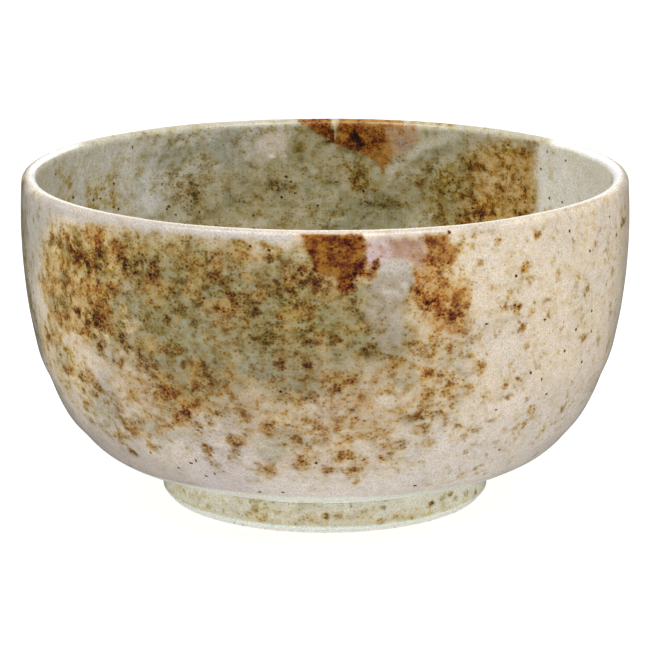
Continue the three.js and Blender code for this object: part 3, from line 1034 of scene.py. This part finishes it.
recess_radius = CLAY_RECESS_RADIUS - GLAZE
recess_flat = recess_radius - RECESS_CORNER
recess_side = [
    (CLAY_RECESS_RADIUS, BARE_HEIGHT),
    (recess_radius, BARE_HEIGHT + GLAZE),
    (recess_radius, RECESS_DEPTH - RECESS_CORNER),
]
recess_corner = arc((recess_flat, RECESS_DEPTH - RECESS_CORNER), RECESS_CORNER, 0, 90)
recess_face = joined(
    even(recess_side, FOOT_STEP),
    even(recess_corner, FOOT_STEP),
    even([(recess_flat, RECESS_DEPTH), (0, RECESS_DEPTH)], 2 * FOOT_STEP),
)
recess_back = [(0, RECESS_DEPTH + GLAZE), (CLAY_RECESS_RADIUS, RECESS_DEPTH + GLAZE)]
recess = Coat(recess_face, recess_back, FOOT_SIDES, ring=True)


def paint_recess(coat):
    """Plain pale glaze."""
    return Paint(coat, "d8d4c2", OLIVE_IRON, 0.18)


clay_foot_face = [
    (CLAY_RECESS_RADIUS, FOOT_HEIGHT),
    (CLAY_FOOT_RADIUS, FOOT_HEIGHT),
    (CLAY_FOOT_RADIUS, BARE_HEIGHT),
    (CLAY_FOOT_RADIUS - CONTACT_BEVEL, 0),
    (CLAY_RECESS_RADIUS + CONTACT_BEVEL, 0),
    (CLAY_RECESS_RADIUS, BARE_HEIGHT),
]
clay_foot = Coat(even(clay_foot_face, FOOT_STEP), [], FOOT_SIDES, ring=True)


# ---------------- the pieces

# Throwing lines: height, size and how far each stands out.
OUTSIDE_THROWING = [
    (30.5, 3.0, 0.22), (25.5, 2.0, -0.18), (18, 2.5, 0.20), (15.5, 1.6, -0.12), (12, 1.8, 0.12),
]
INSIDE_THROWING = [(52, 3.0, 0.1), (44, 2.5, -0.08), (33, 3.0, 0.12)]

outer_paint = paint_outside(outer)
outer.swell(unevenness(outer.points) + throwing_lines(outer, OUTSIDE_THROWING))
inner_paint = paint_inside(inner)
inner.swell(unevenness(inner.points) + throwing_lines(inner, INSIDE_THROWING))

stoneware = bare_clay("stoneware")
for node, coat, paint in (
    ("outer_glaze", outer, outer_paint),
    ("inner_glaze", inner, inner_paint),
    ("foot_glaze", foot, paint_foot(foot)),
    ("recess_glaze", recess, paint_recess(recess)),
):
    show(coat, node + "_coat", node, glaze(node.replace("_", " ")), paint)
show(clay_foot, "foot_clay_ring", "foot_ring", stoneware)
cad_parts["clay_body"].data.materials.clear()
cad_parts["clay_body"].data.materials.append(stoneware)


# ---------------- studio

FLOOR_REACH = 4.0
FLOOR_GLOW = 1.15
REFLECTED = (0.08, 0.2)  # how bright the surround looks in the glaze: in front, and behind
SKY_GLOW = 0.7
CAMERA_DISTANCE = 0.6025
CAMERA_PITCH = math.radians(13.775)
CAMERA_LENS = 166.9
AIM = (-0.0003, 0.0, 0.034)

# Softboxes: name, place, what it points at, width, height and power.
SOFTBOXES = [
    ("key", (0.45, -0.5, 1.2), (0, 0, 0.03), 0.7, 0.7, 7.0),
    ("back", (0, 0.9, 0.4), (0, 0, 0.05), 1.2, 0.12, 0.7),
    ("fill", (-0.45, -0.3, 1.2), (0, 0, 0.03), 0.7, 0.7, 7.0),
]


def plain_floor():
    """White paper that glows a little, so that it reads as white. The glaze reflects it dimly in front."""
    paper = bpy.data.materials.new("floor paper")
    n = Nodes(paper)
    look = {
        "Base Color": (0.45, 0.45, 0.45, 1),
        "Roughness": 0.9,
        "Specular IOR Level": 0.1,
        "Emission Color": (1, 1, 1, 1),
        "Emission Strength": 0.7,
    }
    n.fill(n.shader, look)
    path = n.add("ShaderNodeLightPath")
    place = n.add("ShaderNodeSeparateXYZ", {0: n.add("ShaderNodeTexCoord").outputs["Object"]})
    reflected = n.between(place.outputs["Y"], -0.1, 0.5, *REFLECTED)
    glow = n.either(path.outputs["Is Glossy Ray"], FLOOR_GLOW, reflected)
    unseen = n.add("ShaderNodeEmission", {"Strength": glow})
    mix = n.add(
        "ShaderNodeMixShader",
        {0: path.outputs["Is Camera Ray"], 1: unseen.outputs[0], 2: n.shader.outputs[0]},
    )
    n.join(mix.outputs[0], n.tree.nodes["Material Output"].inputs["Surface"])
    mesh = bpy.data.meshes.new("floor")
    corners = [(x * FLOOR_REACH, y * FLOOR_REACH, 0) for x, y in ((-1, -1), (1, -1), (1, 1), (-1, 1))]
    mesh.from_pydata(corners, [], [(0, 1, 2, 3)])
    mesh.materials.append(paper)
    floor = bpy.data.objects.new("floor", mesh)
    bpy.context.scene.collection.objects.link(floor)


def softbox(name, place, aim, width, height, power):
    """A rectangular light that faces the point it aims at."""
    data = bpy.data.lights.new(name, "AREA")
    data.shape = "RECTANGLE"
    data.size = width
    data.size_y = height
    data.energy = power
    lamp = bpy.data.objects.new(name, data)
    bpy.context.scene.collection.objects.link(lamp)
    direction = np.array(aim) - np.array(place)
    lamp.location = place
    lamp.rotation_mode = "QUATERNION"
    lamp.rotation_quaternion = Vector(direction).to_track_quat("-Z", "Y")


def white_surround():
    """White to the camera, softer as light, and in reflections dim in front and brighter behind."""
    world = bpy.data.worlds.new("surround")
    n = Nodes(world, "Background")
    path = n.add("ShaderNodeLightPath")
    way = n.add("ShaderNodeSeparateXYZ", {0: n.add("ShaderNodeTexCoord").outputs["Generated"]})
    reflected = n.between(way.outputs["Y"], -0.2, 0.8, *REFLECTED, steps="LINEAR")
    light = n.either(path.outputs["Is Glossy Ray"], SKY_GLOW, reflected)
    shown = n.either(path.outputs["Is Camera Ray"], light, 1.0)
    n.fill(n.shader, {"Color": (1, 1, 1, 1), "Strength": shown})
    bpy.context.scene.world = world


def place_camera():
    """The camera at the photograph's angle, looking down a little through a long lens."""
    data = bpy.data.cameras.new("camera")
    data.lens = CAMERA_LENS
    data.sensor_width = 36.0
    camera = bpy.data.objects.new("camera", data)
    camera.location = (
        AIM[0],
        AIM[1] - CAMERA_DISTANCE * math.cos(CAMERA_PITCH),
        AIM[2] + CAMERA_DISTANCE * math.sin(CAMERA_PITCH),
    )
    camera.rotation_euler = (math.radians(90) - CAMERA_PITCH, 0, 0)
    bpy.context.scene.collection.objects.link(camera)
    bpy.context.scene.camera = camera


plain_floor()
white_surround()
for box in SOFTBOXES:
    softbox(*box)
place_camera()
bpy.context.scene.view_settings.view_transform = "Standard"  # the paper and glaze keep their own colours
